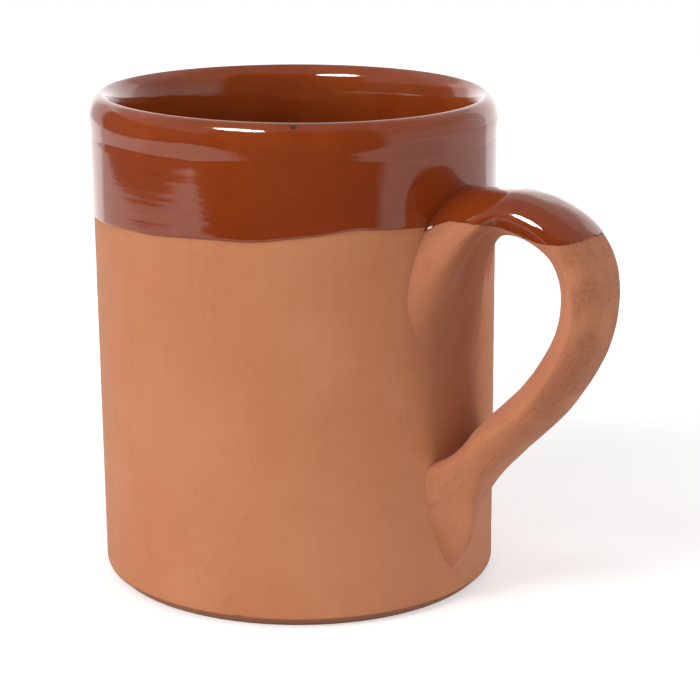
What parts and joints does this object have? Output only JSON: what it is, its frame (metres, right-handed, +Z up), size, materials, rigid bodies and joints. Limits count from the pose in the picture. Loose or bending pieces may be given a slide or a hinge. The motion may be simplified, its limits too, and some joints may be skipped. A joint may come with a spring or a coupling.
{
  "type": "clay mug",
  "caption": "Straight-walled terracotta mug, bare clay below and brown glaze dipped over rim and inside, with a pulled strap handle luted to the wall.",
  "frame": {"origin": "on the mug's axis, at the flat face it rests on", "axes": "+Z up along the mug's axis, +X from the axis through the middle of the handle, +Y across the handle"},
  "size_m": [0.1103, 0.08, 0.097],
  "materials": {
    "terracotta_clay": "bare fired earthenware, matte, with faint throwing lines",
    "handle_clay": "bare fired earthenware, matte, pitted and dragged by hand",
    "slip": "fired slip, matte",
    "lining_glaze": "glossy dark brown transparent glaze over red clay",
    "dip_glaze": "glossy brown transparent glaze over red clay"
  },
  "bodies": {
    "root": {"thrown_body": "terracotta_clay", "pulled_handle": "handle_clay", "upper_slip_joint": "slip", "lower_slip_joint": "slip", "glaze_lining": "lining_glaze", "rim_glaze_band": "dip_glaze", "handle_glaze": "dip_glaze"}
  },
  "joints": []
}
